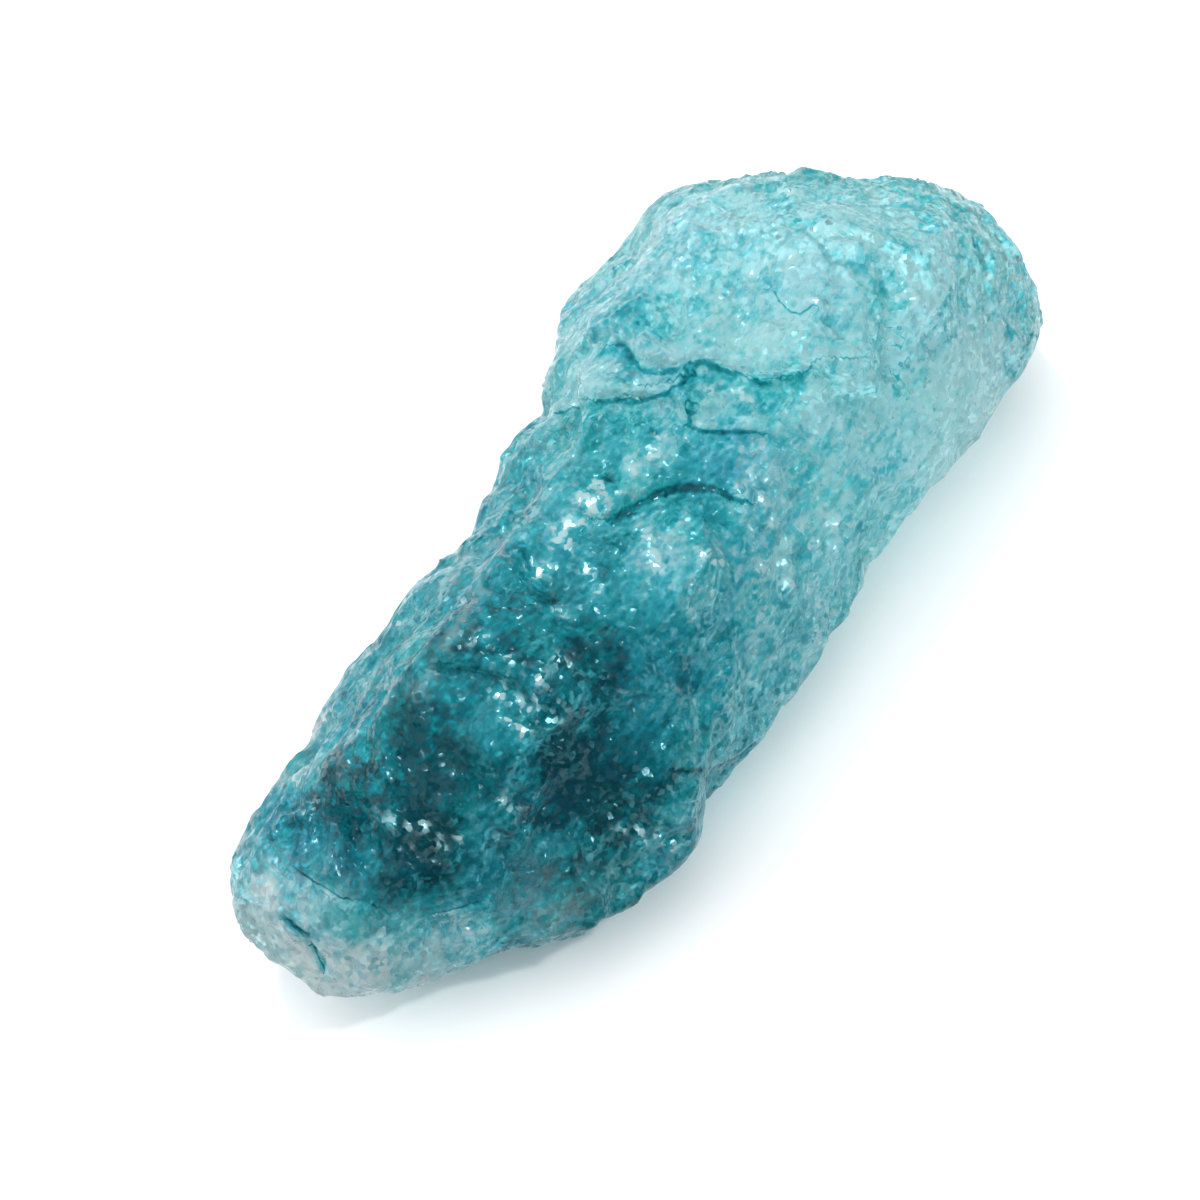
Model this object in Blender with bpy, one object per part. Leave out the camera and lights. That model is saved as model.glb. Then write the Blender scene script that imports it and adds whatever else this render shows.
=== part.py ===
"""A rough aquamarine: one broken piece of beryl, lying on a small flat spot.

+X runs along the stone towards its wide end, +Y is its far flank, +Z is up,
and the flat spot lies on z = 0. The forms are set out in millimetres around a
line near the stone's middle. At the end the stone is centred in plan on the
origin and its size becomes metres.
"""

import math
import random

import bmesh
import bpy
import numpy as np
from mathutils import Matrix, Vector, noise

MM = 0.001
SEED = 41

# The stone in sections along its length, from the narrow end to the wide one:
# x, reach of the left (+Y) flank, reach of the right flank, crest height,
# underside height and the y where the crest lies.
SECTIONS = [
    (-20.8, 2.6, 0.4, 3.9, 2.7, 1.2),
    (-20.4, 3.6, -0.9, 5.0, 2.1, 1.1),
    (-19.4, 4.9, -2.3, 6.5, 1.6, 1.0),
    (-17.6, 6.1, -3.9, 8.1, 1.2, 0.8),
    (-15.2, 6.3, -5.6, 9.2, 0.9, 0.5),
    (-13.0, 6.4, -7.0, 10.1, 0.8, 0.2),
    (-11.0, 6.7, -8.0, 10.7, 0.6, 0.0),
    (-8.5, 7.0, -8.5, 11.1, 0.3, 0.0),
    (-5.0, 6.3, -8.5, 11.4, 0.0, -0.2),
    (-2.0, 6.3, -8.2, 11.7, -0.3, -0.4),
    (1.0, 7.1, -7.9, 12.0, -0.5, -0.2),
    (4.0, 7.8, -7.7, 12.1, -0.5, 0.2),
    (7.5, 9.2, -7.6, 12.3, -0.4, 0.6),
    (10.0, 9.9, -7.5, 12.4, -0.1, 0.9),
    (13.0, 9.4, -7.5, 12.2, 0.3, 1.0),
    (16.0, 9.1, -7.6, 11.7, 0.7, 0.8),
    (18.4, 7.5, -7.5, 10.9, 1.1, 0.4),
    (20.4, 4.6, -7.1, 9.5, 1.6, -0.4),
    (22.0, 1.8, -6.2, 8.0, 2.3, -1.4),
    (23.0, -0.5, -5.0, 6.6, 3.3, -2.3),
    (23.4, -1.9, -3.8, 5.8, 4.3, -2.8),
]
WIDEST_LEFT = 5.6  # height of the widest line on the left flank
WIDEST_RIGHT = 4.4  # and on the right flank
ROUNDNESS = 2.5  # 2 gives oval sections, more gives boxier ones
AROUND = 96
STATION_STEP = 0.45

CARVE_STEP = 0.24  # spacing of the even mesh that the forms are carved in
TRIANGLES = 9300  # what is kept of it
FOOT_SNAP = 0.03  # corners this near the table are on it

# Broad broken faces: a point on the face, the way it faces, the middle of the
# stretch of the stone that it cuts and half the length of that stretch.
FACES = [
    ((0.0, 1.0, 11.35), (0.02, -0.05, 1.0), -1.0, 12.0),
    ((12.0, 0.0, 11.7), (-0.03, 0.06, 1.0), 13.0, 8.0),
    ((-2.0, 5.35, 8.6), (-0.05, 0.80, 0.60), -4.0, 10.0),
    ((11.0, 7.9, 8.6), (-0.08, 0.76, 0.64), 11.0, 8.0),
    ((-12.0, 4.9, 7.6), (-0.20, 0.74, 0.64), -14.0, 6.0),
    ((5.0, -6.0, 8.4), (0.0, -0.72, 0.69), 5.0, 12.0),
    ((0.0, -7.6, 5.0), (0.02, -0.98, 0.18), 2.0, 10.0),
    ((16.5, -6.2, 7.8), (0.22, -0.78, 0.58), 17.5, 6.0),
    ((-8.0, -6.6, 7.2), (-0.25, -0.70, 0.67), -9.5, 6.5),
    ((-13.4, -5.2, 6.6), (-0.55, -0.55, 0.63), -14.5, 5.0),
    ((-17.0, 1.0, 7.7), (-0.52, 0.05, 0.85), -18.5, 5.5),
    ((-20.3, 1.0, 4.4), (-0.93, -0.10, 0.35), -20.0, 4.0),
    ((20.35, 2.0, 6.0), (0.86, 0.47, 0.17), 20.5, 5.0),
    ((22.2, -4.0, 6.0), (0.88, -0.40, 0.25), 21.5, 4.0),
    ((18.6, 0.0, 10.4), (0.42, 0.02, 0.91), 19.5, 5.5),
    ((17.5, 6.4, 8.2), (0.35, 0.66, 0.66), 17.5, 5.0),
    ((-5.0, 5.6, 2.2), (-0.05, 0.72, -0.69), -5.0, 11.0),
    ((10.0, 7.6, 2.4), (0.05, 0.66, -0.75), 10.5, 9.0),
    ((0.0, -6.9, 1.7), (0.0, -0.70, -0.71), 0.0, 14.0),
    ((18.0, -2.0, 1.2), (0.50, -0.10, -0.86), 19.0, 6.0),
    ((-16.5, 0.5, 1.2), (-0.42, 0.10, -0.90), -17.5, 6.0),
]

# Ledges on the top: the broken edge of a layer that lies over the stone on
# the +X side, as a line in plan, with its height and how far back it fades.
LEDGES = [
    (
        [(5.2, 6.4), (6.1, 4.6), (5.6, 3.0), (6.1, 2.0), (7.1, 1.3), (7.5, 0.4)],
        0.62,
        5.5,
    ),
    (
        [(7.5, 0.4), (7.7, -1.0), (8.9, -2.1), (9.3, -3.6), (10.6, -4.9)],
        0.55,
        4.5,
    ),
    (
        [(0.6, 5.6), (1.5, 4.8), (2.7, 4.2), (4.2, 2.3), (4.9, 1.2), (4.4, 0.1)],
        0.50,
        3.2,
    ),
    (
        [(4.4, 0.1), (4.3, -0.5), (5.6, -2.3), (6.7, -3.9)],
        0.42,
        2.6,
    ),
    (
        [(11.9, -5.6), (10.2, -2.2), (13.5, -0.6), (14.3, 1.6)],
        0.38,
        3.5,
    ),
    (
        [(-10.6, 2.6), (-9.2, 0.6), (-8.9, -1.2), (-9.8, -2.9), (-9.0, -5.0)],
        0.45,
        3.6,
    ),
]

LEDGE_WIDTH = 0.42  # how far the broken edge of a layer leans

# Creases between lumps: a line in plan, with its depth.
CREASES = [
    ([(-2.4, 0.9), (-0.8, 0.1), (0.7, -0.5), (1.9, -1.2), (2.6, -3.0)], 0.38),
    ([(-3.6, -7.2), (-4.6, -5.4), (-4.2, -3.0), (-5.2, -1.0)], 0.26),
    ([(-11.8, 3.0), (-7.4, 3.4), (-3.0, 3.7), (1.0, 4.6)], 0.30),
    ([(12.0, -5.8), (12.4, -3.9), (14.2, -2.9), (16.6, -3.8)], 0.28),
    ([(-16.4, 4.6), (-15.6, 2.4), (-16.0, 0.2), (-14.8, -2.4)], 0.28),
]

# Swellings and hollows: x, y, z of the middle, its radius and the rise.
SWELLINGS = [
    (-0.9, -4.1, 10.9, 3.4, 0.75),
    (-5.6, 1.2, 11.0, 3.0, 0.30),
    (-17.6, 1.6, 6.4, 2.6, 0.35),
    (16.8, -3.2, 10.6, 3.2, 0.35),
    (13.0, 4.8, 11.2, 3.4, 0.28),
    (-13.0, -0.6, 9.6, 2.6, -0.85),
    (-9.3, -4.5, 9.6, 2.4, -0.80),
    (-10.9, 1.9, 10.4, 1.8, 0.35),
    (-6.8, -6.6, 7.8, 1.9, 0.30),
    (2.6, 1.6, 11.6, 2.0, -0.30),
    (-12.8, 6.4, 6.0, 1.5, -0.45),
    (-15.6, -5.2, 3.4, 2.0, -0.30),
    (22.6, 0.6, 6.8, 1.6, -0.45),
    (8.0, -7.4, 6.0, 2.6, -0.35),
    (6.5, 8.6, 4.2, 2.8, -0.45),
]

# Shell-shaped fracture hollows: the point they are struck from and a radius.
SHELLS = [
    ((-4.8, -10.2, 8.6), 3.3),
    ((1.9, -2.0, 18.6), 7.0),
    ((19.4, -7.6, 13.4), 4.4),
    ((13.4, -11.6, 8.4), 4.8),
    ((4.0, 12.3, 7.4), 4.9),
    ((-9.5, 10.9, 3.0), 4.9),
    ((8.0, -12.0, 1.4), 5.2),
    ((-11.5, -13.0, 1.4), 5.2),
]

# Blocky growth steps: the middle of a patch, its reach, the way that the steps
# rise and the rise of one.
TERRACES = [
    ((15.5, -1.5, 10.5), 7.0, (-0.30, -0.16, 0.94), 0.42),
    ((12.0, -3.5, 10.5), 4.5, (0.10, -0.40, 0.91), 0.34),
    ((-14.6, -3.2, 7.0), 4.0, (-0.45, -0.40, 0.80), 0.34),
    ((7.0, -6.5, 6.5), 5.5, (-0.10, -0.86, 0.50), 0.30),
    ((-3.0, 6.5, 3.0), 7.0, (0.05, 0.80, -0.60), 0.34),
    ((11.0, -3.5, 1.0), 6.0, (0.15, -0.35, -0.92), 0.34),
]

STRIAE_SPACING = 1.35  # lengthwise ribs of the left flank
STRIAE_DEPTH = 0.17
FLAKES = [
    # how many, depth below the surface, tilt in degrees, reach
    (60, 0.25, 4, 4.2),
    (180, 0.16, 8, 2.6),
    (280, 0.09, 13, 1.7),
]
GRAIN = 0.07  # height of the small lumps all over

BODY_TINT = (0.20, 0.56, 0.60, 1.0)
ROUGHNESS = 0.22
REFRACTION = 1.577  # beryl


def clear_scene():
    for obj in list(bpy.data.objects):
        bpy.data.objects.remove(obj, do_unlink=True)


def ease(value):
    """0 below 0, 1 above 1 and a smooth rise between."""
    value = np.clip(value, 0.0, 1.0)
    return value * value * (3.0 - 2.0 * value)


def window(values, middle, half_length):
    """1 in the middle of a stretch and a fade over its outer third."""
    away = np.abs(values - middle) / half_length
    return 1.0 - ease((away - 0.66) / 0.34)


def smooth_column(column, count):
    """Values between the sections along a curve that passes through them."""
    places = np.linspace(0.0, len(column) - 1.001, count)
    out = []
    for place in places:
        i = int(place)
        t = place - i
        before = column[max(i - 1, 0)]
        start = column[i]
        end = column[i + 1]
        after = column[min(i + 2, len(column) - 1)]
        out.append(
            start
            + 0.5 * t * (end - before)
            + t * t * (before - 2.5 * start + 2.0 * end - 0.5 * after)
            + t * t * t * 0.5 * (after - before + 3.0 * (start - end))
        )
    return out


def section_ring(left, right, top, under, crest):
    """One closed section as (y, z) points, boxier than an oval."""
    power = 2.0 / ROUNDNESS
    points = []
    for i in range(AROUND):
        angle = 2.0 * math.pi * i / AROUND
        across = math.cos(angle)
        upward = math.sin(angle)
        reach = left - crest if across > 0.0 else crest - right
        y = crest + math.copysign(abs(across) ** power * reach, across)
        share = 0.5 + 0.5 * across
        widest = WIDEST_RIGHT + (WIDEST_LEFT - WIDEST_RIGHT) * share
        widest = min(max(widest, under + 0.3), top - 0.3)
        rise = top - widest if upward > 0.0 else widest - under
        z = widest + math.copysign(abs(upward) ** power * rise, upward)
        points.append((y, z))
    return points


def loft_stone():
    """The plain closed body through all the sections."""
    length = SECTIONS[-1][0] - SECTIONS[0][0]
    count = int(length / STATION_STEP)
    columns = [smooth_column(column, count) for column in zip(*SECTIONS)]
    shape = bmesh.new()
    rings = []
    for x, left, right, top, under, crest in zip(*columns):
        ring = section_ring(left, right, top, under, crest)
        rings.append([shape.verts.new((x, y, z)) for y, z in ring])
    for near, far in zip(rings, rings[1:]):
        for i in range(AROUND):
            j = (i + 1) % AROUND
            shape.faces.new((near[i], near[j], far[j], far[i]))
    shape.faces.new(rings[0])
    shape.faces.new(rings[-1])
    bmesh.ops.recalc_face_normals(shape, faces=shape.faces)
    mesh = bpy.data.meshes.new("loft")
    shape.to_mesh(mesh)
    shape.free()
    return mesh


def with_modifiers(mesh, add_modifiers):
    """The mesh as it comes out of the modifiers that add_modifiers puts on."""
    helper = bpy.data.objects.new("helper", mesh)
    bpy.context.scene.collection.objects.link(helper)
    add_modifiers(helper)
    graph = bpy.context.evaluated_depsgraph_get()
    result = bpy.data.meshes.new_from_object(helper.evaluated_get(graph))
    bpy.data.objects.remove(helper, do_unlink=True)
    bpy.data.meshes.remove(mesh)
    return result


def even_out(helper):
    remesh = helper.modifiers.new("even", "REMESH")
    remesh.mode = "VOXEL"
    remesh.voxel_size = CARVE_STEP
    smooth = helper.modifiers.new("soften", "SMOOTH")
    smooth.factor = 0.5
    smooth.iterations = 3


def points_of(mesh):
    points = np.empty(len(mesh.vertices) * 3)
    mesh.vertices.foreach_get("co", points)
    return points.reshape(-1, 3)


def normals_of(mesh, points):
    mesh.vertices.foreach_set("co", points.ravel())
    mesh.update()
    normals = np.empty(len(mesh.vertices) * 3)
    mesh.vertex_normals.foreach_get("vector", normals)
    return normals.reshape(-1, 3)


def unit(vector):
    vector = np.asarray(vector, float)
    return vector / np.linalg.norm(vector)


def cut_faces(points):
    """Takes off what stands outside each broad face."""
    for place, facing, middle, half_length in FACES:
        facing = unit(facing)
        outside = np.maximum((points - np.array(place)) @ facing, 0.0)
        amount = outside * window(points[:, 0], middle, half_length)
        points -= amount[:, None] * facing


def swell(points, normals):
    for x, y, z, radius, rise in SWELLINGS:
        away = np.linalg.norm(points - (x, y, z), axis=1) / radius
        points += normals * (rise * np.exp(-2.2 * away**2))[:, None]


def strike_shells(points):
    """Presses the surface back to a ball, which leaves a crisp shell rim."""
    for centre, radius in SHELLS:
        offset = points - np.array(centre)
        away = np.linalg.norm(offset, axis=1)
        inside = away < radius
        scale = radius / away[inside]
        points[inside] = np.array(centre) + offset[inside] * scale[:, None]


def distance_to_line(points, line):
    """Plan distance to a broken line, + on its +X side, and place along it."""
    best = np.full(len(points), 1e9)
    side = np.ones(len(points))
    along = np.zeros(len(points))
    for i, (start, end) in enumerate(zip(line, line[1:])):
        start = np.array(start)
        step = np.array(end) - start
        offset = points[:, :2] - start
        share = np.clip(offset @ step / (step @ step), 0.0, 1.0)
        away = np.linalg.norm(offset - share[:, None] * step, axis=1)
        nearer = away < best
        turn = step[0] * offset[:, 1] - step[1] * offset[:, 0]
        best[nearer] = away[nearer]
        side[nearer] = np.sign(turn)[nearer]
        along[nearer] = (i + share[nearer]) / (len(line) - 1)
    return best * side, along


def raise_ledges(points, normals):
    """Lifts the layer on the +X side of each line and sinks its foot a bit."""
    upper = ease((normals[:, 2] - 0.15) / 0.35) * ease((points[:, 2] - 5.0) / 2.0)
    for line, height, fade in LEDGES:
        away, along = distance_to_line(points, line)
        ends = ease(along / 0.12) * ease((1.0 - along) / 0.12)
        ends = 0.25 + 0.75 * ends
        layer = ease(away / LEDGE_WIDTH + 0.5) * (1.0 - ease(away / fade))
        foot = np.exp(-np.maximum(-away, 0.0) / 0.7) * (away < 0.0)
        lift = (height * layer - 0.4 * height * foot) * ends * upper
        points += normals * lift[:, None]


def press_creases(points, normals):
    upper = ease((normals[:, 2] - 0.15) / 0.35) * ease((points[:, 2] - 5.0) / 2.0)
    for line, depth in CREASES:
        away, along = distance_to_line(points, line)
        ends = ease(along / 0.2) * ease((1.0 - along) / 0.2)
        lift = -depth * np.exp(-((away / 0.42) ** 2)) * ends * upper
        points += normals * lift[:, None]


def terrace(points, normals, middle, reach, direction, rise):
    """Turns a slope into steps that rise in one direction."""
    direction = unit(direction)
    weight = 1.0 - ease(np.linalg.norm(points - middle, axis=1) / reach - 0.4)
    weight *= ease((normals @ direction - 0.45) / 0.3)
    height = points @ direction / rise
    whole = np.floor(height)
    stepped = whole + ease((height - whole - 0.5) / 0.36 + 0.5)
    points += (weight * (stepped - height) * rise)[:, None] * direction


def cut_terraces(points, mesh):
    for middle, reach, direction, rise in TERRACES:
        normals = normals_of(mesh, points)
        terrace(points, normals, middle, reach, direction, rise)


def rib_left_flank(points, normals):
    """Lengthwise growth ribs, which wander a little and come and go."""
    flank = ease((normals[:, 1] - 0.25) / 0.35) * ease((points[:, 2] - 1.5) / 1.5)
    lift = np.zeros(len(points))
    for i in np.nonzero(flank > 0.01)[0]:
        x, y, z = points[i]
        wander = 1.1 * noise.noise(Vector((x * 0.13, z * 0.1, 3.0)))
        fade = 0.6 + 0.6 * noise.noise(Vector((x * 0.21, z * 0.5, 9.0)))
        place = (z - 0.55 * y + wander) / STRIAE_SPACING
        crest = 1.0 - 2.0 * abs(place - math.floor(place) - 0.5) * 1.6
        lift[i] = STRIAE_DEPTH * max(crest, -0.6) * max(fade, 0.0)
    points += normals * (lift * flank)[:, None]


def surface_spot(points, rng):
    """The corner nearest to a random place around the stone."""
    x = rng.uniform(-21.0, 23.0)
    angle = rng.uniform(0.0, 2.0 * math.pi)
    place = (x, 9.5 * math.cos(angle), 6.0 + 7.5 * math.sin(angle))
    return int(np.argmin(np.sum((points - place) ** 2, axis=1)))


def strike_flakes(points, mesh):
    """Small flat breaks all over, each a plane a little below the surface."""
    rng = random.Random(SEED)
    for count, depth, tilt, reach in FLAKES:
        normals = normals_of(mesh, points)
        lean = math.tan(math.radians(tilt))
        for _ in range(count):
            i = surface_spot(points, rng)
            near = np.linalg.norm(points - points[i], axis=1)
            mean = unit(normals[near < 0.4 * reach].sum(axis=0))
            jitter = [rng.uniform(-lean, lean) for _ in range(3)]
            facing = unit(mean + jitter)
            start = points[i] - facing * depth * rng.uniform(0.5, 1.25)
            outside = (points - start) @ facing
            hit = (outside > 0.0) & (near < reach) & (normals @ facing > 0.3)
            amount = outside[hit] * (1.0 - ease(near[hit] / reach / 0.3 - 2.33))
            points[hit] -= amount[:, None] * facing


def add_grain(points, normals):
    lift = np.empty(len(points))
    for i, point in enumerate(points):
        place = Vector(point)
        coarse = noise.noise(place * 0.42)
        sharp = abs(noise.noise(place * 0.95 + Vector((7.0, 2.0, 5.0))))
        lift[i] = GRAIN * (1.4 * coarse - 1.6 * sharp + 0.3)
    points += normals * lift[:, None]


def carve(mesh):
    points = points_of(mesh)
    cut_faces(points)
    swell(points, normals_of(mesh, points))
    strike_shells(points)
    strike_flakes(points, mesh)
    raise_ledges(points, normals_of(mesh, points))
    press_creases(points, normals_of(mesh, points))
    cut_terraces(points, mesh)
    rib_left_flank(points, normals_of(mesh, points))
    add_grain(points, normals_of(mesh, points))
    points[:, 2] = np.maximum(points[:, 2], 0.0)
    mesh.vertices.foreach_set("co", points.ravel())
    mesh.update()


def keep_the_forms(helper):
    triangles = sum(len(face.vertices) - 2 for face in helper.data.polygons)
    decimate = helper.modifiers.new("thin out", "DECIMATE")
    decimate.ratio = TRIANGLES / triangles
    decimate.use_collapse_triangulate = True


def settle_foot(mesh):
    """Puts the corners of the flat spot exactly on z = 0."""
    for vert in mesh.vertices:
        if vert.co.z < FOOT_SNAP:
            vert.co.z = 0.0


def centre_in_plan(mesh):
    """Moves the middle of the stone's box over the origin."""
    points = points_of(mesh)
    middle = 0.5 * (points.min(axis=0) + points.max(axis=0))
    mesh.transform(Matrix.Translation((-middle[0], -middle[1], 0.0)))


def aquamarine_material():
    material = bpy.data.materials.new("aquamarine")
    material.use_nodes = True
    look = material.node_tree.nodes["Principled BSDF"]
    look.inputs["Base Color"].default_value = BODY_TINT
    look.inputs["Metallic"].default_value = 0.0
    look.inputs["Roughness"].default_value = ROUGHNESS
    look.inputs["IOR"].default_value = REFRACTION
    look.inputs["Transmission Weight"].default_value = 0.7
    return material


def make_stone():
    mesh = with_modifiers(loft_stone(), even_out)
    carve(mesh)
    mesh = with_modifiers(mesh, keep_the_forms)
    settle_foot(mesh)
    centre_in_plan(mesh)
    mesh.transform(Matrix.Scale(MM, 4))
    mesh.name = "aquamarine_crystal"
    mesh.materials.clear()
    mesh.materials.append(aquamarine_material())
    mesh.shade_smooth()
    mesh.set_sharp_from_angle(angle=math.radians(24))
    stone = bpy.data.objects.new("aquamarine_crystal", mesh)
    bpy.context.scene.collection.objects.link(stone)
    return stone


clear_scene()
make_stone()
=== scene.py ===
import math

import bpy
import numpy as np
from mathutils import Matrix, Vector, noise


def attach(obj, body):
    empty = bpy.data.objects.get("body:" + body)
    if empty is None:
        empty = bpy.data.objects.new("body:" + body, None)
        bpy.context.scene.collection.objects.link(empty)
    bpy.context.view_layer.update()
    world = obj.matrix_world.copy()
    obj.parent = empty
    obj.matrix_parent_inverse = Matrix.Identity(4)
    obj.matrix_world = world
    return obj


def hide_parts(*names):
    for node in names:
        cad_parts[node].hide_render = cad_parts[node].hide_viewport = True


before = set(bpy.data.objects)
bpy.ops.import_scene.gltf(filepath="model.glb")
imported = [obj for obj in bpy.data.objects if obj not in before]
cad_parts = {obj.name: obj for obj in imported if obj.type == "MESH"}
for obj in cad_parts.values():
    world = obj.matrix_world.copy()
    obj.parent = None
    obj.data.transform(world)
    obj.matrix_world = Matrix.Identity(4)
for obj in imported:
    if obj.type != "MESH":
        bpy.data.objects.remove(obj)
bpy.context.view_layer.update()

mm = 0.001
print("loaded the stone")


# Camera: looks down at the stone over its narrow end

photoView = {
    "azimuth": -55.0,
    "elevation": 60.0,
    "lens": 100.0,
    "sensor": 36.0,
    "widthAtStone": 48.0,  # mm of the table across the picture
    "aim": (-2.26, -0.10, 4.5),
}


def viewDirections(view):
    azimuth = math.radians(view["azimuth"])
    elevation = math.radians(view["elevation"])
    back = Vector((
        math.sin(azimuth) * math.cos(elevation),
        -math.cos(azimuth) * math.cos(elevation),
        math.sin(elevation),
    ))
    right = Vector((math.cos(azimuth), math.sin(azimuth), 0.0))
    return right, back.cross(right), back


def eyePlace(view):
    distance = view["widthAtStone"] / view["sensor"] * view["lens"]
    return Vector(view["aim"]) + viewDirections(view)[2] * distance


def makeCamera(view):
    right, up, back = viewDirections(view)
    data = bpy.data.cameras.new("photoCamera")
    data.lens = view["lens"]
    data.sensor_width = view["sensor"]
    data.clip_start = 0.01
    data.clip_end = 10.0
    camera = bpy.data.objects.new("photoCamera", data)
    turn = Matrix((right, up, back)).transposed().to_4x4()
    camera.matrix_world = Matrix.Translation(eyePlace(view) * mm) @ turn
    bpy.context.scene.collection.objects.link(camera)
    bpy.context.scene.camera = camera


makeCamera(photoView)


class NodeTray:
    def __init__(self, owner):
        self.nodes = owner.node_tree.nodes
        self.links = owner.node_tree.links

    def add(self, kind, **values):
        node = self.nodes.new(kind)
        for name, value in values.items():
            setattr(node, name, value)
        return node

    def join(self, source, target):
        self.links.new(source, target)

    def feed(self, node, values):
        for socket, value in zip(node.inputs, values):
            if isinstance(value, bpy.types.NodeSocket):
                self.join(value, socket)
            elif value is not None:
                socket.default_value = value

    def sum(self, kind, first, second):
        node = self.add("ShaderNodeMath", operation=kind)
        self.feed(node, (first, second))
        return node.outputs[0]

    def arrow(self, kind, *values):
        node = self.add("ShaderNodeVectorMath", operation=kind)
        self.feed(node, values)
        return node

    def fade(self, value, start, end, kind="LINEAR"):
        # start and end each give a value and what it turns into
        node = self.add("ShaderNodeMapRange", interpolation_type=kind)
        self.feed(node, (value, start[0], end[0], start[1], end[1]))
        return node.outputs["Result"]

    def cloud(self, place, scale, detail):
        node = self.add("ShaderNodeTexNoise")
        node.inputs["Scale"].default_value = scale
        node.inputs["Detail"].default_value = detail
        self.join(place, node.inputs["Vector"])
        return node.outputs["Fac"]


# Table and light: a pale table, a white room and two small lamps

studio = {
    "tableSize": 900.0,
    "tableColour": (0.93, 0.94, 0.95, 1.0),
    "tableRoughness": 0.7,
    "tableGlow": 0.03,
    "tableHeight": -0.05,  # mm, a hair under the flat spot
    # a white room, brightest in a broad soft patch overhead and behind the stone
    "softFrom": (-0.21, 0.47, 0.86),
    "softEdge": 0.44,
    "softMiddle": 0.98,
    "roomStrength": 0.32,
    "softStrength": 2.5,
    # where from in mm, width in mm, watts
    "lights": {
        "leftLamp": ((50.0, 180.0, 280.0), 30.0, 0.40),
        "rightLamp": ((75.0, -150.0, 290.0), 24.0, 0.27),
    },
}


def makeTable(settings):
    half = settings["tableSize"] * mm / 2.0
    low = settings["tableHeight"] * mm
    mesh = bpy.data.meshes.new("table")
    corners = [(-half, -half, low), (half, -half, low), (half, half, low), (-half, half, low)]
    mesh.from_pydata(corners, [], [(0, 1, 2, 3)])
    table = bpy.data.objects.new("table", mesh)
    bpy.context.scene.collection.objects.link(table)
    material = bpy.data.materials.new("paleTable")
    material.use_nodes = True
    look = material.node_tree.nodes["Principled BSDF"]
    look.inputs["Base Color"].default_value = settings["tableColour"]
    look.inputs["Roughness"].default_value = settings["tableRoughness"]
    look.inputs["Emission Color"].default_value = (1.0, 1.0, 1.0, 1.0)
    look.inputs["Emission Strength"].default_value = settings["tableGlow"]
    mesh.materials.append(material)


def makeRoom(settings):
    world = bpy.data.worlds.new("brightRoom")
    bpy.context.scene.world = world
    world.use_nodes = True
    tray = NodeTray(world)
    toward = tray.add("ShaderNodeTexCoord").outputs["Generated"]
    lean = tray.arrow("DOT_PRODUCT", toward, settings["softFrom"]).outputs["Value"]
    edge = (settings["softEdge"], settings["roomStrength"])
    middle = (settings["softMiddle"], settings["softStrength"])
    strength = tray.fade(lean, edge, middle, "SMOOTHSTEP")
    background = tray.nodes["Background"]
    background.inputs["Color"].default_value = (1.0, 1.0, 1.0, 1.0)
    tray.join(strength, background.inputs["Strength"])


def makeLights(settings):
    for name, (place, width, watts) in settings["lights"].items():
        data = bpy.data.lights.new(name, "AREA")
        data.shape = "DISK"
        data.size = width * mm
        data.energy = watts
        light = bpy.data.objects.new(name, data)
        light.location = Vector(place) * mm
        light.rotation_euler = Vector(place).to_track_quat("Z", "Y").to_euler()
        bpy.context.scene.collection.objects.link(light)


makeTable(studio)
makeRoom(studio)
makeLights(studio)
bpy.context.scene.view_settings.view_transform = "Standard"
bpy.context.scene.cycles.max_bounces = 4
bpy.context.scene.cycles.transmission_bounces = 4
bpy.context.scene.cycles.diffuse_bounces = 2
print("camera, table and light are set")


# Stone surface: the plain stone, remeshed evenly and broken up at a finer scale

fineSurface = {
    "spacing": 0.165,
    # flat breaks: size in mm, tilt, change of depth of colour as a painted shading that follows
    # the lean
    "facets": [(1.8, 0.12, 0.18), (0.66, 0.24, 0.16)],
    "ribDepth": 0.04,
    "ribTone": 0.08,
    "stepSize": (1.1, 0.42),
    "stepDepth": 0.07,
    "stepTone": 0.20,
    "grain": 0.014,
    # pits and bright breaks: depth as a share of the radius, change of depth of colour (paler at
    # the bright breaks, a painted highlight)
    "pitDepth": 0.45,
    "pitTone": 0.55,
    "glintTone": -0.15,
    "glintPush": 0.30,
    "flatFoot": 0.5,  # mm above the table where the breaks begin to fade
}

# Places on the stone in mm. The far side is the side towards the broad end.

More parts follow.
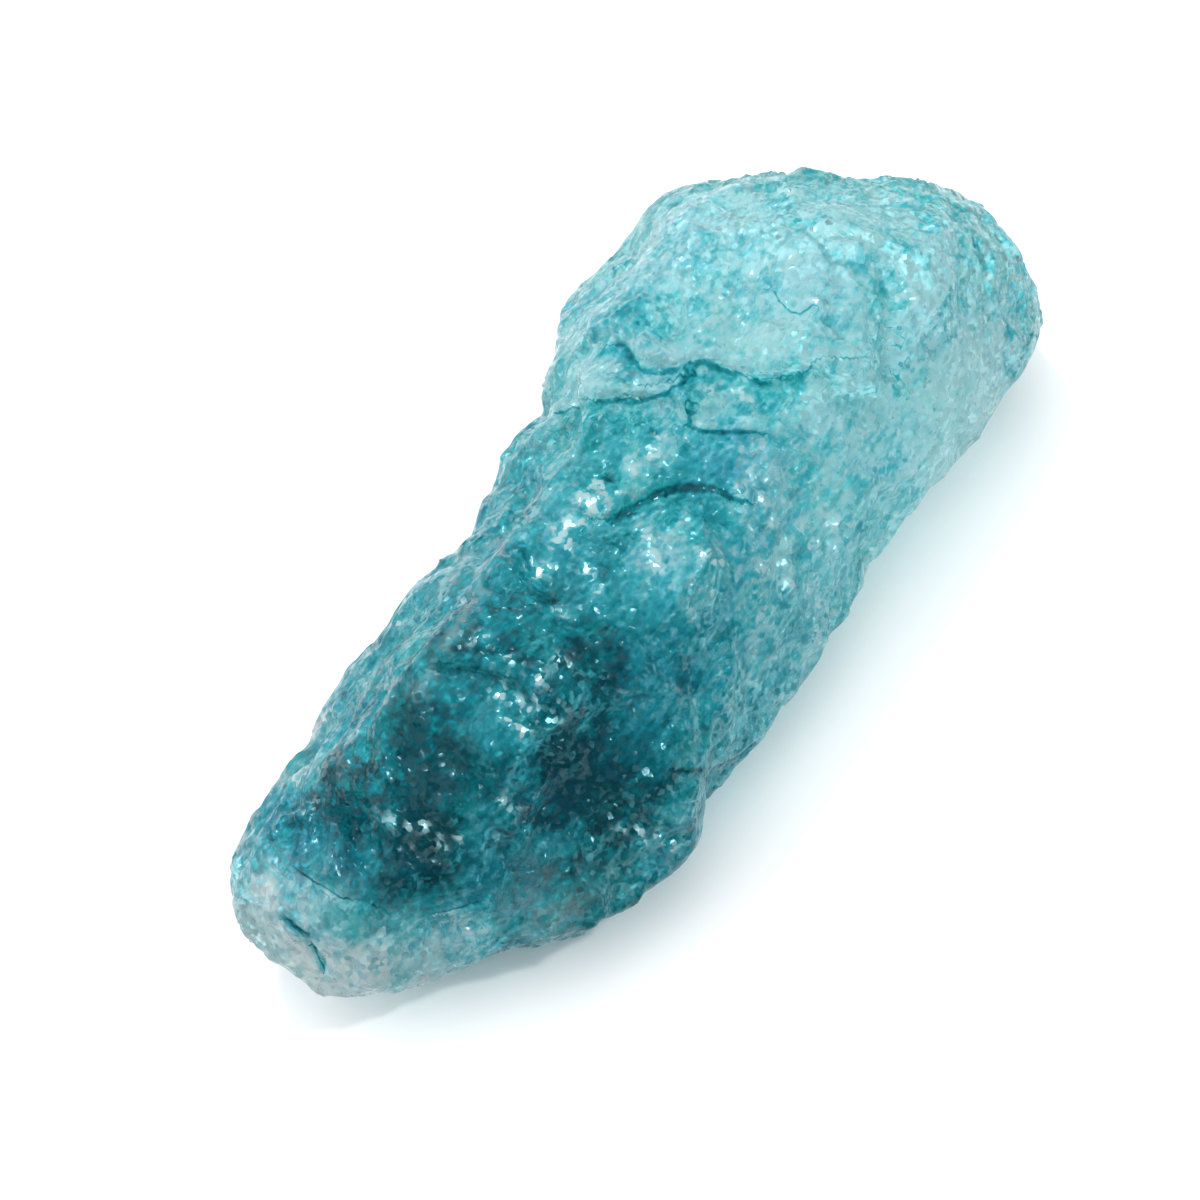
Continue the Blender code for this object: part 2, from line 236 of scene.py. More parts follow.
marks = {
    # path, width, change on its far side and near side (painted light and shade beside the
    # ledge), depth of the groove
    "lines": [
        ([(4.6, 3.6, 11.2), (4.1, 2.8, 11.4), (4.0, 2.1, 11.4), (4.6, 1.4, 11.2),
          (5.3, 0.9, 11.2), (5.8, 0.5, 11.2), (6.0, -0.1, 10.9), (6.4, -1.7, 10.8),
          (6.9, -2.3, 10.9), (7.4, -2.9, 11.2)],
         0.2, -0.12, 0.16, 0.11),
        ([(1.7, 5.3, 8.0), (1.6, 4.5, 9.3), (2.1, 4.0, 9.6), (1.9, 2.8, 11.2), (2.9, 1.6, 11.0),
          (3.5, 0.9, 11.3), (4.4, 0.7, 11.3), (5.1, 0.7, 11.1)],
         0.15, -0.12, 0.12, 0.09),
        ([(3.8, -0.2, 11.4), (3.4, -0.4, 11.2), (3.2, -0.5, 10.8), (3.1, -1.1, 11.0),
          (3.7, -1.9, 10.9), (4.3, -2.9, 11.0)],
         0.13, -0.08, 0.1, 0.05),
        ([(7.6, -3.1, 11.4), (7.8, -3.3, 12.0), (8.8, -4.3, 11.8), (11.2, -5.3, 9.5)],
         0.09, -0.04, 0.05, 0.06),
        ([(-2.0, -0.5, 10.6), (-1.2, -0.8, 10.6), (-0.4, -1.1, 10.7), (0.2, -1.4, 10.7),
          (0.7, -1.8, 10.7), (1.2, -2.4, 10.7), (1.4, -3.2, 10.8), (1.6, -4.0, 10.5)],
         0.22, -0.02, -0.06, 0.09),
        ([(-3.6, -8.5, 3.4), (-4.5, -8.4, 3.6), (-5.6, -8.2, 4.3), (-7.2, -8.2, 6.6),
          (-7.9, -7.8, 7.2)],
         0.13, -0.05, 0.1, 0.07),
        ([(12.0, -4.6, 10.4), (11.5, -5.1, 9.8), (10.6, -5.6, 9.2)],
         0.1, 0.04, 0.04, 0.04),
        ([(9.9, 0.0, 11.7), (9.5, -0.5, 11.8), (9.3, -1.2, 11.9), (9.3, -1.6, 12.1),
          (9.8, -1.8, 12.3)],
         0.07, 0.08, -0.06, 0.04),
        ([(-21.0, 1.1, 6.0), (-21.1, 0.7, 5.9), (-21.1, 0.3, 5.7), (-21.2, -0.2, 5.2),
          (-21.4, -0.8, 4.6), (-21.4, -1.1, 4.3)],
         0.05, 0.24, 0.14, 0.06),
        ([(-18.9, 3.6, 6.0), (-19.4, 1.6, 6.7), (-19.4, -0.4, 6.9), (-18.6, -2.4, 6.8),
          (-17.4, -3.6, 6.2), (-16.0, -4.6, 6.0)],
         0.06, 0.1, -0.1, 0.03),
    ],
    # path, width, share of pale grey, partly frost and partly painted sheen and bright rims
    "frostAndSheenLines": [
        ([(-0.3, 2.5, 10.5), (-2.5, 2.8, 9.7), (-4.2, 3.1, 9.1), (-6.7, 3.6, 9.3)],
         0.28, 0.18),
        ([(-5.8, 3.1, 9.5), (-7.8, 1.6, 11.1), (-9.7, 1.4, 11.3), (-12.5, 1.1, 10.7)],
         0.22, 0.22),
        ([(-20.4, 2.9, 6.1), (-20.7, 2.3, 6.0), (-21.0, 1.5, 6.0), (-21.3, 0.8, 5.4),
          (-21.5, -0.3, 4.3)],
         0.35, 0.45),
        ([(-21.8, 1.0, 4.1), (-21.7, 0.1, 4.0), (-21.5, -0.9, 4.1), (-21.4, -1.9, 4.3),
          (-20.6, -2.8, 3.8), (-19.0, -4.1, 3.3)],
         0.22, 0.6),
        ([(-13.4, 5.2, 5.7), (-13.8, 5.3, 5.5)],
         0.35, 0.9),
        ([(-16.4, 4.9, 5.7), (-16.0, 4.0, 6.7)],
         0.22, 0.6),
        ([(-19.9, -2.8, 5.6), (-19.3, -3.3, 5.1)],
         0.75, 0.25),
        ([(-21.0, 1.1, 6.0), (-21.1, 0.3, 5.7), (-21.4, -0.8, 4.6)],
         0.3, -0.5),
    ],
    # middle, radius and push out or in
    "nudges": [
        (11.0, 7.5, 8.0, 2.0, -0.55), (14.2, 7.4, 7.0, 1.8, 0.45), (17.0, 2.5, 9.0, 2.5, -0.3),
    ],
    # middle and radius
    "pits": [
        (2.2, 0.4, 10.8, 0.25), (-0.6, 0.6, 10.7, 0.35), (-6.2, -0.7, 10.8, 0.3),
        (-7.3, -2.6, 11.1, 0.25), (-2.5, -3.3, 11.1, 0.15), (-8.5, -2.6, 11.3, 0.2),
        (-16.4, -2.6, 7.6, 0.2), (11.2, -7.1, 7.8, 0.2), (-21.1, 1.3, 6.0, 0.25),
        (-21.1, 0.8, 5.9, 0.2), (-21.1, 0.2, 5.8, 0.3), (-21.2, -0.3, 5.2, 0.22),
        (-21.3, -0.8, 4.6, 0.28),
    ],
    # bright breaks: middle and radius; each is turned to catch a lamp and gets paler colour as a
    # painted highlight
    "glints": [
        (4.2, -6.7, 7.9, 0.42), (4.4, -7.2, 7.3, 0.42), (3.6, -7.1, 7.5, 0.45),
        (3.1, -6.7, 8.0, 0.35), (1.8, -6.0, 8.9, 0.35), (1.2, -6.3, 8.5, 0.4),
        (0.9, -6.7, 8.0, 0.4), (0.4, -5.8, 9.1, 0.25), (-2.0, -2.2, 11.0, 0.26),
        (-2.5, -2.6, 11.0, 0.24), (-2.9, -3.1, 11.1, 0.3), (-1.6, -4.4, 11.4, 0.28),
        (-1.5, -4.9, 11.2, 0.24), (-1.2, 0.6, 10.8, 0.5), (-1.9, 0.6, 10.9, 0.55),
        (-3.0, 0.6, 10.9, 0.5), (-3.9, 0.6, 10.8, 0.4), (1.9, -3.8, 10.7, 0.25),
        (2.3, -4.5, 10.2, 0.3), (2.8, -3.7, 10.6, 0.22), (2.0, -5.2, 9.7, 0.25),
        (3.1, -4.2, 10.3, 0.25), (3.7, -4.4, 10.2, 0.2), (3.1, -5.0, 9.7, 0.22),
        (3.1, -5.9, 8.8, 0.22), (-1.0, -4.8, 10.5, 0.22), (-2.3, -5.4, 10.2, 0.18),
        (-3.5, -5.1, 10.5, 0.18), (2.8, -8.0, 4.4, 0.25), (2.0, -7.8, 5.7, 0.2),
        (5.8, -7.6, 4.2, 0.2), (2.2, 0.1, 10.8, 0.25), (1.2, -0.2, 10.8, 0.22),
        (0.2, 0.1, 10.9, 0.2), (-4.5, -1.0, 10.8, 0.28), (-4.9, -2.0, 10.9, 0.25),
        (-5.4, 0.5, 10.6, 0.3), (-6.5, -1.1, 10.8, 0.28), (-8.5, -2.6, 11.3, 0.28),
        (-9.6, -0.7, 11.4, 0.22), (-9.5, 0.3, 11.4, 0.22), (-8.3, 2.0, 10.8, 0.15),
        (-9.2, 4.5, 7.8, 0.15), (-10.7, -1.4, 10.9, 0.28), (-10.5, -2.2, 10.8, 0.25),
        (-10.6, -2.8, 10.9, 0.28), (-10.7, -3.3, 11.1, 0.38), (-10.5, -3.7, 10.8, 0.38),
        (-11.4, -2.0, 10.8, 0.2), (-11.5, -2.5, 10.7, 0.25), (-11.3, -3.0, 10.6, 0.32),
        (-9.6, -2.4, 11.4, 0.28), (-7.6, -5.0, 9.5, 0.2), (-10.3, -7.6, 5.9, 0.28),
        (-10.8, -7.2, 6.3, 0.22), (-9.9, -8.2, 5.4, 0.3), (-9.6, -8.6, 4.9, 0.3),
        (-10.6, -7.9, 5.6, 0.28), (-16.4, -0.6, 8.5, 0.28), (-15.8, -1.6, 8.4, 0.3),
        (-16.1, -1.1, 8.4, 0.25), (-16.0, -2.3, 8.0, 0.22), (-13.4, -3.5, 8.7, 0.22),
        (-13.4, -3.9, 8.3, 0.2), (-12.6, -4.2, 8.4, 0.18), (-14.3, -3.9, 7.7, 0.18),
        (-15.3, -2.9, 8.2, 0.18), (-11.8, -5.9, 6.9, 0.18), (-17.2, -4.5, 5.4, 0.3),
        (-16.7, -5.0, 5.3, 0.25), (-16.2, 4.4, 6.3, 0.25), (-17.2, 2.7, 7.3, 0.22),
        (15.0, 2.7, 10.7, 0.28), (13.1, -4.5, 11.1, 0.25), (13.9, -5.2, 10.6, 0.22),
        (10.4, 1.4, 11.3, 0.25), (10.1, -1.8, 12.3, 0.25), (11.5, 0.3, 11.8, 0.2),
        (14.3, -6.5, 8.2, 0.22), (16.4, -7.0, 7.1, 0.22), (10.3, -4.6, 10.3, 0.15),
        (7.0, -5.1, 10.2, 0.15), (4.9, -0.3, 11.1, 0.2), (5.6, -1.5, 10.8, 0.22),
    ],
}


# How deep the colour is over the stone: 0 is clear, 1 is near black.
# Each patch is its middle in mm, its reach along x, y and z, and the change.

colourDepth = {
    "body": 0.47,
    "patches": [
        ((12.5, -1.0, 7.0), (16.0, 17.0, 20.0), -0.35),
        ((12.5, -8.0, 7.0), (6.0, 3.0, 5.0), -0.24),
        ((-11.3, -2.8, 8.5), (11.0, 10.5, 14.0), 0.27),
        ((-23.3, 0.0, 3.0), (6.4, 8.5, 8.0), -0.55),
        ((-18.6, -4.2, 4.5), (3.6, 3.4, 4.5), -0.26),
        ((-5.0, 5.0, 8.5), (11.0, 5.5, 7.0), -0.06),
        ((2.4, -2.2, 10.9), (2.8, 2.4, 4.0), 0.09),  # blue patch beside the arc
        ((4.4, -1.3, 11.0), (1.5, 1.5, 2.0), -0.08),
        ((6.6, -2.0, 11.0), (2.0, 2.0, 3.0), 0.08),
        ((4.5, 2.6, 11.5), (1.2, 2.0, 1.6), -0.14),
        ((2.4, 3.4, 11.0), (1.8, 3.4, 3.0), -0.17),
        ((-1.7, -4.5, 11.0), (5.4, 3.6, 4.0), -0.09),
        ((-6.6, -5.8, 9.5), (2.6, 2.2, 4.0), -0.05),
        ((-1.5, -8.2, 5.5), (6.0, 2.5, 5.0), -0.07),
        ((17.8, -3.0, 9.5), (2.2, 2.2, 3.0), 0.16),
        ((15.3, 2.2, 10.7), (2.0, 2.0, 3.0), 0.12),
        ((13.3, -1.4, 11.7), (1.6, 1.2, 2.0), 0.10),
        ((5.5, 3.4, 11.7), (1.0, 1.6, 2.0), 0.10),
        ((14.4, -1.8, 11.5), (1.4, 1.6, 2.0), -0.12),
        ((12.0, -5.6, 9.6), (2.4, 2.0, 3.0), -0.08),
        # dark clumps near the narrow end
        ((-13.6, -0.6, 7.0), (2.4, 2.6, 12.0), 0.44),
        ((-13.2, -3.6, 8.0), (1.6, 1.4, 6.0), 0.14),
        ((-16.2, 1.7, 6.0), (2.2, 2.4, 12.0), 0.36),
        ((-16.0, -1.8, 6.0), (2.6, 2.2, 12.0), 0.44),
        ((-18.0, 0.0, 5.0), (2.0, 1.8, 12.0), 0.20),
        ((-10.4, -4.8, 6.0), (2.2, 2.2, 12.0), 0.36),
        ((-10.6, -6.2, 5.0), (2.0, 2.0, 12.0), 0.18),
        ((-8.9, -6.8, 6.0), (1.8, 1.5, 8.0), 0.16),
        ((-7.2, -3.0, 9.0), (2.4, 2.0, 8.0), 0.10),
        ((-18.6, 3.2, 6.0), (2.2, 2.2, 6.0), 0.14),
    ],
    # size in mm, change
    "clouds": [(5.0, 0.06), (2.1, 0.15), (0.8, 0.16)],
    "lively": ((-22.0, -1.0, 4.0), (5.0, 8.0, 7.0), 0.6),  # more broken up here
    "streaks": 0.08,
    "drift": 0.8,
}

# Where the blue-green turns bluer (plus) or greener (minus), and where it is veiled pale grey,
# partly frost and partly painted sheen

colourShift = {
    "clouds": [(3.0, 0.5), (0.9, 0.5)],
    "patches": [
        ((2.6, -2.3, 10.9), (3.0, 2.6, 4.0), 0.5),
        ((-18.5, 3.0, 6.5), (2.6, 2.4, 4.0), 0.5),
        ((-6.0, -6.0, 9.5), (5.0, 3.5, 5.0), 0.3),
        ((18.5, 0.0, 8.0), (6.0, 10.0, 8.0), -0.4),
    ],
}

paleFrostAndSheen = {
    "clouds": [(1.6, 1.2), (0.6, 1.2)],
    "patches": [
        ((-22.6, -0.5, 2.5), (6.6, 7.5, 7.5), 0.70),
        ((-16.0, -6.5, 4.5), (5.0, 3.0, 4.0), 0.10),
        ((2.0, -8.5, 5.0), (8.0, 2.5, 6.0), 0.04),
        ((12.2, -8.0, 7.0), (6.0, 3.0, 5.0), 0.10),
    ],
    # painted sheen on the flank that faces the light
    "flank": 0.08,
}


def ease(value):
    value = np.clip(value, 0.0, 1.0)
    return value * value * (3.0 - 2.0 * value)


def bell(distance, width):
    return np.exp(-(distance / width) ** 2)


def evenCopy(node, spacing):
    mesh = node.data.copy()
    mesh.transform(Matrix.Scale(1.0 / mm, 4))
    helper = bpy.data.objects.new("helper", mesh)
    bpy.context.scene.collection.objects.link(helper)
    remesh = helper.modifiers.new("even", "REMESH")
    remesh.mode = "VOXEL"
    remesh.voxel_size = spacing
    graph = bpy.context.evaluated_depsgraph_get()
    result = bpy.data.meshes.new_from_object(helper.evaluated_get(graph))
    bpy.data.objects.remove(helper, do_unlink=True)
    bpy.data.meshes.remove(mesh)
    return result


def readPoints(mesh):
    points = np.empty(len(mesh.vertices) * 3)
    mesh.vertices.foreach_get("co", points)
    return points.reshape(-1, 3)


def readNormals(mesh, points):
    mesh.vertices.foreach_set("co", points.ravel())
    mesh.update()
    normals = np.empty(len(mesh.vertices) * 3)
    mesh.vertex_normals.foreach_get("vector", normals)
    return normals.reshape(-1, 3)


def distanceToPath(points, path):
    nearest = np.full(len(points), 1e9)
    farSide = np.zeros(len(points))
    for start, end in zip(path, path[1:]):
        start, end = np.array(start), np.array(end)
        along = end - start
        share = np.clip((points - start) @ along / (along @ along), 0.0, 1.0)
        offset = points - start - share[:, None] * along
        gap = np.linalg.norm(offset, axis=1)
        closer = gap < nearest
        nearest[closer] = gap[closer]
        farSide[closer] = (offset @ np.array((0.82, 0.57, 0.0)))[closer]
    return nearest, farSide


def cloudSum(points, clouds):
    total = np.zeros(len(points))
    for i, point in enumerate(points):
        place = Vector(point)
        for size, change in clouds:
            total[i] += change * noise.noise(place / size + Vector((size, 0.0, 0.0)))
    return total


def patchSum(points, patches):
    total = np.zeros(len(points))
    for middle, reach, change in patches:
        away = np.linalg.norm((points - np.array(middle)) / np.array(reach), axis=1)
        total += change * ease((1.0 - away) / 0.75)
    return total


def driftedPoints(points, drift):
    drifted = points.copy()
    aside = [Vector((9.3, -1.5, -8.0)), Vector((-3.1, 5.7, 12.4)), Vector((4.9, 17.2, -6.3))]
    for i, point in enumerate(points):
        place = Vector(point)
        for axis, shift in enumerate(aside):
            wander = noise.noise(place / 4.0 + shift) + 0.6 * noise.noise(place / 1.3 + shift)
            drifted[i, axis] += drift * wander
    return drifted


def streakNoise(points, slow, fast):
    return np.array([noise.noise(Vector((x * slow, y * fast, z * fast))) for x, y, z in points])


def facetAt(point, size, stretch, tilt):
    place = Vector((point[0] / stretch, point[1], point[2])) / size
    centre = noise.voronoi(place)[1][0]
    lean = noise.cell_vector(centre * 37.0) - Vector((0.5, 0.5, 0.5))
    most = 0.25 * size * tilt
    lift = (place - centre).dot(lean) * tilt * size
    return max(-most, min(most, lift)), lean[0]


def stepAt(point, size):
    across = 0.574 * point[0] - 0.819 * point[1]
    along = 0.819 * point[0] + 0.574 * point[1]
    drift = 0.5 * noise.noise(Vector(point) * 0.9)
    row = math.floor(along / size[1] + drift)
    column = math.floor(across / size[0] + 0.5 * (row % 2))
    place = Vector((column, row, math.floor(point[2] / 1.3)))
    return 0.5 * noise.cell(place * 1.01)


def breakSurface(points, normals, settings):
    flank = ease((normals[:, 1] - 0.2) / 0.4)
    farEnd = ease((points[:, 0] - 5.0) / 5.0) * ease((2.5 - points[:, 1]) / 3.0)
    ribs = streakNoise(points, 0.22, 1.9)
    lift = ribs * flank * settings["ribDepth"]
    tone = ribs * flank * settings["ribTone"]
    for i, point in enumerate(points):
        stretch = 1.3 + 2.0 * flank[i]
        place = Vector(point)
        share = 0.9 + 0.9 * noise.noise(place * 0.33)
        for size, tilt, change in settings["facets"]:
            rise, leanShading = facetAt(point, size, stretch, tilt)
            lift[i] += rise * share
            # painted shading: the colour of each facet follows its lean
            tone[i] += change * leanShading * (0.4 + 0.6 * share)
        lift[i] += noise.noise(place * 4.0) * settings["grain"]
        if farEnd[i] > 0.01:
            step = stepAt(point, settings["stepSize"]) * farEnd[i] * share
            lift[i] += step * settings["stepDepth"]
            tone[i] -= step * settings["stepTone"]
    return lift, tone


def lampFacings(middle, view, settings):
    toEye = (eyePlace(view) - Vector(middle)).normalized()
    facings = []
    for place, width, watts in settings["lights"].values():
        toLamp = (Vector(place) - Vector(middle)).normalized()
        facings.append(np.array((toEye + toLamp).normalized()))
    return facings


def turnGlint(points, normals, middle, radius, facings, most):
    middle = np.array(middle)
    gap = np.linalg.norm(points - middle, axis=1)
    near = np.nonzero(gap < radius * 1.5)[0]
    if not len(near):
        return
    local = normals[near].mean(axis=0)
    facing = max(facings, key=lambda direction: direction @ local)
    height = (points[near] - middle) @ facing
    height -= height[gap[near] < radius].mean() if (gap[near] < radius).any() else 0.0
    share = ease((1.4 * radius - gap[near]) / (0.4 * radius))
    points[near] -= facing * (np.clip(height, -most, most) * share)[:, None]


def addLines(points, lines, ragged, lift, tone):
    edge = np.full(len(points), 6.0)
    for path, width, beyond, before, groove in lines:
        gap, farSide = distanceToPath(points, path)
        across = ease(0.5 + farSide / 0.3)
        reach = bell(gap, 0.9)
        lift += groove * (0.6 * (across - 0.5) * reach - bell(gap * ragged, 1.2 * width))
        # painted light and shade on the far and near side of each ledge
        tone += (across * beyond + (1.0 - across) * before) * reach
        # signed distance to the line, for the painted shade along it
        signed = np.clip(gap * (0.3 + 0.7 * ragged) / width, 0.0, 6.0)
        signed = signed * np.where(farSide < 0.0, -1.0, 1.0)
        closer = np.abs(signed) < np.abs(edge)
        edge[closer] = signed[closer]
    return edge


def shapeStone(mesh, settings, places, view, lights):
    points = readPoints(mesh)
    normals = readNormals(mesh, points)
    for x, y, z, radius, change in places["nudges"]:
        gap = np.linalg.norm(points - np.array((x, y, z)), axis=1)
        points += normals * (change * bell(gap, radius))[:, None]
    normals = readNormals(mesh, points)
    drifted = driftedPoints(points, colourDepth["drift"])
    lively = 1.0 + patchSum(drifted, [colourDepth["lively"]])
    lift, tone = breakSurface(points, normals, settings)
    lift, tone = lift * lively, tone * lively
    tone += colourDepth["body"] + lively * cloudSum(points, colourDepth["clouds"])
    tone += patchSum(drifted, colourDepth["patches"])
    tone += colourDepth["streaks"] * streakNoise(points, 0.5, 2.2)
    hue = cloudSum(points, colourShift["clouds"]) + patchSum(drifted, colourShift["patches"])
    # pale grey veil, partly frost and partly painted sheen
    frostAndSheen = patchSum(drifted, paleFrostAndSheen["patches"]) * (1.0 + cloudSum(points, paleFrostAndSheen["clouds"]))
    # painted sheen: pale streaks on the flank that faces the light
    flank = ease((normals[:, 1] - 0.1) / 0.4)
    frostAndSheen += paleFrostAndSheen["flank"] * flank * ease((streakNoise(points, 0.35, 2.6) + 0.05) / 0.35)
    polishAndGlint = np.zeros(len(points))
    ragged = 1.0 + 0.9 * cloudSum(points, [(0.32, 1.0)])
    edge = addLines(points, places["lines"], ragged, lift, tone)
    # painted sheen and bright rims along the listed paths, partly frost
    for path, width, share in places["frostAndSheenLines"]:
        frostAndSheen += share * bell(distanceToPath(points, path)[0] * ragged, width)
    for x, y, z, radius in places["pits"]:
        gap = np.linalg.norm(points - np.array((x, y, z)), axis=1) * ragged
        lift -= settings["pitDepth"] * radius * bell(gap, 0.8 * radius)
        tone += settings["pitTone"] * bell(gap, 0.8 * radius)
        frostAndSheen *= 1.0 - 0.8 * bell(gap, radius)
    # painted highlight: paler colour and a polish mask for whitish grains at each bright break
    for x, y, z, radius in places["glints"]:
        gap = np.linalg.norm(points - np.array((x, y, z)), axis=1) * ragged
        tone += settings["glintTone"] * bell(gap, 0.8 * radius)
        most = 0.9 if radius > 0.34 else 1.0  # wide groups break up into grains
        polishAndGlint = np.maximum(polishAndGlint, most * np.minimum(1.2 * bell(gap, 1.2 * radius), 1.0))
    away = ease(points[:, 2] / settings["flatFoot"])
    points += normals * (lift * away)[:, None]
    for x, y, z, radius in places["glints"]:
        facings = lampFacings((x, y, z), view, lights)
        turnGlint(points, normals, (x, y, z), radius, facings, settings["glintPush"])
    points[:, 2] = np.maximum(points[:, 2], 0.0)
    mesh.vertices.foreach_set("co", points.ravel())
    layers = (("tone", tone), ("hue", hue), ("frostAndSheen", frostAndSheen), ("polishAndGlint", polishAndGlint), ("edge", edge))
    for name, values in layers:
        layer = mesh.attributes.new(name, "FLOAT", "POINT")
        layer.data.foreach_set("value", values)
    mesh.update()


crystalLook = {
    "clearness": 0.7,
    "shine": 0.3,
    "shineTint": (0.17, 0.36, 0.41, 1.0),
    "refraction": 1.577,
    "absorption": (0.30, 0.85, 0.88, 1.0),
    "density": 40.0,
    # how deep the blue-green gets, from clear rim to near black
    "tints": [
        (0.00, (0.56, 0.87, 0.90, 1.0)),
        (0.15, (0.39, 0.79, 0.835, 1.0)),
        (0.33, (0.126, 0.59, 0.66, 1.0)),
        (0.43, (0.045, 0.49, 0.57, 1.0)),
        (0.55, (0.018, 0.375, 0.445, 1.0)),
        (0.70, (0.005, 0.24, 0.29, 1.0)),
        (0.85, (0.002, 0.135, 0.17, 1.0)),
        (1.00, (0.001, 0.055, 0.075, 1.0)),
    ],
    # colour of the frost and of the painted sheen
    "frostAndSheenColour": (0.92, 1.0, 1.0, 1.0),
    "frostAndSheenSpread": (0.25, 1.5),  # even part, part that differs from grain to grain
    # painted sparkle: whitish flecks where the grain is low and the colour is pale: grain, share
    "sparkleFleckRange": ((0.46, 0.0), (0.34, 0.28)),
    "paleBelow": 0.8,
    # painted glints: whitish grains in the bright breaks
    "paintedGlitter": 2.0,
    "paintedGlitterFrom": 0.62,
    # grains per metre, change of depth, detail; the grain runs along the stone
    "grain": (3800.0, 0.34, 2.0),
    "grainStretch": (0.6, 1.0, 1.0),
    # grains per metre, tilt of the tiny breaks, change of depth as painted facet shading,
    # painted sparkle
    "breaks": (4300.0, 0.75, 0.18, 0.9),
    "calmShare": 0.96,  # how far the tiny breaks lie flat in a bright break
    # painted shade along the ledge lines: distance in widths, added depth
    "ledgeShadeRange": ((0.3, 0.42), (1.0, 0.0)),
    "frostSheenAndSparkleOffLines": 1.5,
    "hueSwing": 0.025,
    # roughness: grain, roughness, from bright to dull
    "glossRange": ((0.35, 0.12), (0.65, 0.26)),
    "polished": 0.11,
}


def tinyBreaks(tray, place, scale):
    # each tiny face has its own lean, and a painted shading that follows the lean
    cells = tray.add("ShaderNodeTexVoronoi", feature="F1")
    cells.inputs["Scale"].default_value = scale
    tray.join(place, cells.inputs["Vector"])
    parts = tray.add("ShaderNodeSeparateColor")
    tray.join(cells.outputs["Color"], parts.inputs[0])
    lean = tray.arrow("SUBTRACT", cells.outputs["Color"], (0.5, 0.5, 0.5)).outputs[0]
    return lean, parts.outputs[1]


def tiltedNormal(tray, lean, strength):
    upright = tray.add("ShaderNodeNewGeometry").outputs["Normal"]
    scaled = tray.arrow("SCALE", lean, None, None, strength).outputs[0]
    tilted = tray.arrow("ADD", upright, scaled).outputs[0]
    return tray.arrow("NORMALIZE", tilted).outputs[0]


def tintColour(tray, depth, hue, settings):
    ramp = tray.add("ShaderNodeValToRGB")
    stops = ramp.color_ramp.elements
    while len(stops) < len(settings["tints"]):
        stops.new(0.5)
    for stop, (position, colour) in zip(stops, settings["tints"]):
        stop.position = position
        stop.color = colour
    tray.join(depth, ramp.inputs["Fac"])
    turned = tray.add("ShaderNodeHueSaturation")
    swing = tray.sum("MULTIPLY", hue, settings["hueSwing"])
    tray.join(tray.sum("ADD", swing, 0.5), turned.inputs["Hue"])
    tray.join(ramp.outputs["Color"], turned.inputs["Color"])
    return turned.outputs["Color"]


def frostSheenAndSparkleShare(tray, layers, grain, leanShading, ledgeShade, settings):
    # painted sparkle, frost and sheen: pale flecks, the pale veil and the whitish grains in the
    # bright breaks, none on the painted shade of the ledge lines
    sparkleFlecks = tray.fade(grain, *settings["sparkleFleckRange"])
    pale = tray.sum("MAXIMUM", tray.sum("SUBTRACT", settings["paleBelow"], layers["tone"]), 0.0)
    frostSheenAndSparkle = tray.sum("MULTIPLY", sparkleFlecks, pale)
    even, uneven = settings["frostAndSheenSpread"]
    spread = tray.sum("ADD", tray.sum("MULTIPLY", leanShading, uneven), even)
    frostAndSheen = tray.sum("MULTIPLY", tray.sum("MAXIMUM", layers["frostAndSheen"], 0.0), spread)
    frostSheenAndSparkle = tray.sum("ADD", frostSheenAndSparkle, frostAndSheen)
    paintedGlitter = tray.sum("MAXIMUM", tray.sum("SUBTRACT", leanShading, settings["paintedGlitterFrom"]), 0.0)
    paintedGlitter = tray.sum("MULTIPLY", paintedGlitter, settings["paintedGlitter"])
    frostSheenAndSparkle = tray.sum("ADD", frostSheenAndSparkle, tray.sum("MULTIPLY", paintedGlitter, layers["polishAndGlint"]))
    frostSheenAndSparkle = tray.sum("SUBTRACT", frostSheenAndSparkle, tray.sum("MULTIPLY", ledgeShade, settings["frostSheenAndSparkleOffLines"]))
    return tray.sum("MAXIMUM", tray.sum("MINIMUM", frostSheenAndSparkle, 1.0), 0.0)


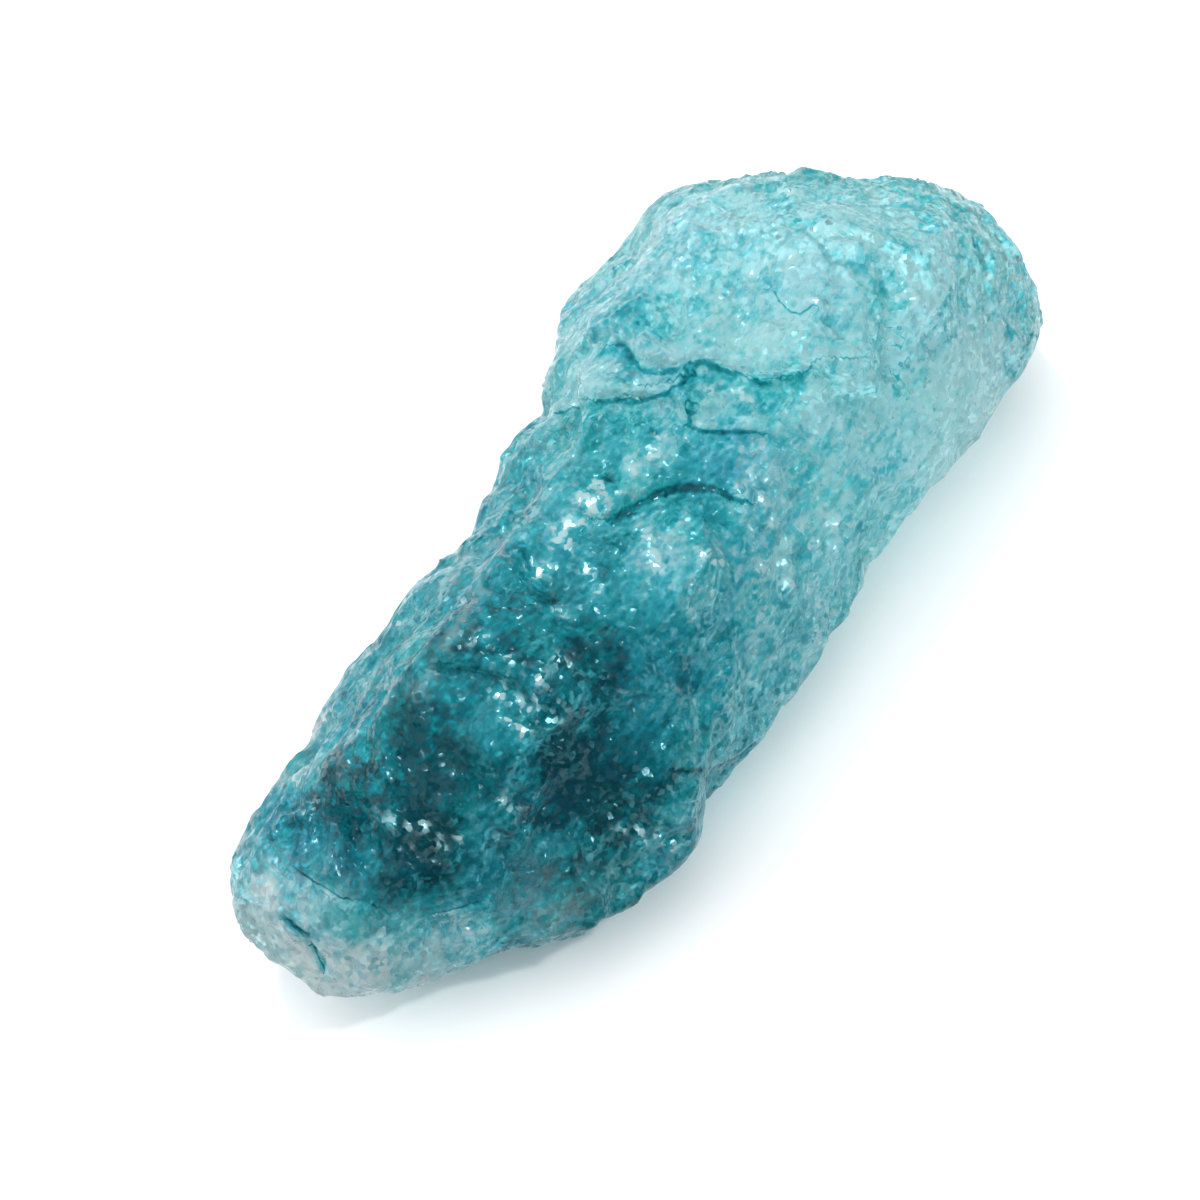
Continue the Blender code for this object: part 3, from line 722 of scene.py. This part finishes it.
def crystalMaterial(settings):
    material = bpy.data.materials.new("aquamarineCrystal")
    material.use_nodes = True
    tray = NodeTray(material)
    look = tray.nodes["Principled BSDF"]
    place = tray.add("ShaderNodeTexCoord").outputs["Object"]
    layers = {}
    for name in ("tone", "hue", "frostAndSheen", "polishAndGlint", "edge"):
        layers[name] = tray.add("ShaderNodeAttribute", attribute_name=name).outputs["Fac"]
    polishAndGlint = layers["polishAndGlint"]

    # depth of colour: the shaped tone, grain, painted facet shading, painted highlights and
    # painted shade on the ledge lines
    scale, amount, detail = settings["grain"]
    stretched = tray.arrow("MULTIPLY", place, settings["grainStretch"]).outputs[0]
    grain = tray.cloud(stretched, scale, detail)
    swing = tray.sum("MULTIPLY", tray.sum("SUBTRACT", grain, 0.5), 2.0 * amount)
    depth = tray.sum("ADD", swing, layers["tone"])
    scale, tilt, amount, sparkle = settings["breaks"]
    lean, leanShading = tinyBreaks(tray, place, scale)
    # painted facet shading: deeper or paler with each tiny break's lean
    swing = tray.sum("SUBTRACT", leanShading, 0.5)
    depth = tray.sum("ADD", tray.sum("MULTIPLY", swing, amount), depth)
    # painted highlight: the paler tiny breaks turn paler still in the bright breaks
    flash = tray.sum("MULTIPLY", tray.sum("MAXIMUM", swing, 0.0), 2.0 * sparkle)
    depth = tray.sum("SUBTRACT", depth, tray.sum("MULTIPLY", flash, polishAndGlint))
    # painted shade along the ledge lines
    gap = tray.sum("ABSOLUTE", layers["edge"], 0.0)
    ledgeShade = tray.fade(gap, *settings["ledgeShadeRange"], "SMOOTHSTEP")
    depth = tray.sum("ADD", depth, ledgeShade)

    mix = tray.add("ShaderNodeMix", data_type="RGBA")
    tray.join(frostSheenAndSparkleShare(tray, layers, grain, leanShading, ledgeShade, settings), mix.inputs["Factor"])
    tray.join(tintColour(tray, depth, layers["hue"], settings), mix.inputs[6])
    mix.inputs[7].default_value = settings["frostAndSheenColour"]
    tray.join(mix.outputs[2], look.inputs["Base Color"])

    smooth = tray.add("ShaderNodeMix", data_type="FLOAT")
    tray.join(polishAndGlint, smooth.inputs["Factor"])
    tray.join(tray.fade(grain, *settings["glossRange"]), smooth.inputs["A"])
    smooth.inputs["B"].default_value = settings["polished"]
    tray.join(smooth.outputs["Result"], look.inputs["Roughness"])

    calm = tray.sum("SUBTRACT", tilt, tray.sum("MULTIPLY", polishAndGlint, settings["calmShare"] * tilt))
    tray.join(tiltedNormal(tray, lean, calm), look.inputs["Normal"])

    look.inputs["IOR"].default_value = settings["refraction"]
    look.inputs["Specular IOR Level"].default_value = settings["shine"]
    look.inputs["Specular Tint"].default_value = settings["shineTint"]
    look.inputs["Transmission Weight"].default_value = settings["clearness"]
    absorb = tray.add("ShaderNodeVolumeAbsorption")
    absorb.inputs["Color"].default_value = settings["absorption"]
    absorb.inputs["Density"].default_value = settings["density"]
    tray.join(absorb.outputs["Volume"], tray.nodes["Material Output"].inputs["Volume"])
    return material


def makeCrystal(node):
    mesh = evenCopy(node, fineSurface["spacing"])
    shapeStone(mesh, fineSurface, marks, photoView, studio)
    mesh.transform(Matrix.Scale(mm, 4))
    mesh.materials.clear()
    mesh.materials.append(crystalMaterial(crystalLook))
    for polygon in mesh.polygons:
        polygon.use_smooth = True
    stone = bpy.data.objects.new("aquamarineSurface", mesh)
    bpy.context.scene.collection.objects.link(stone)
    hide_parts("aquamarine_crystal")
    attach(stone, "root")
    print("stone surface has", len(mesh.polygons), "faces")


makeCrystal(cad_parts["aquamarine_crystal"])
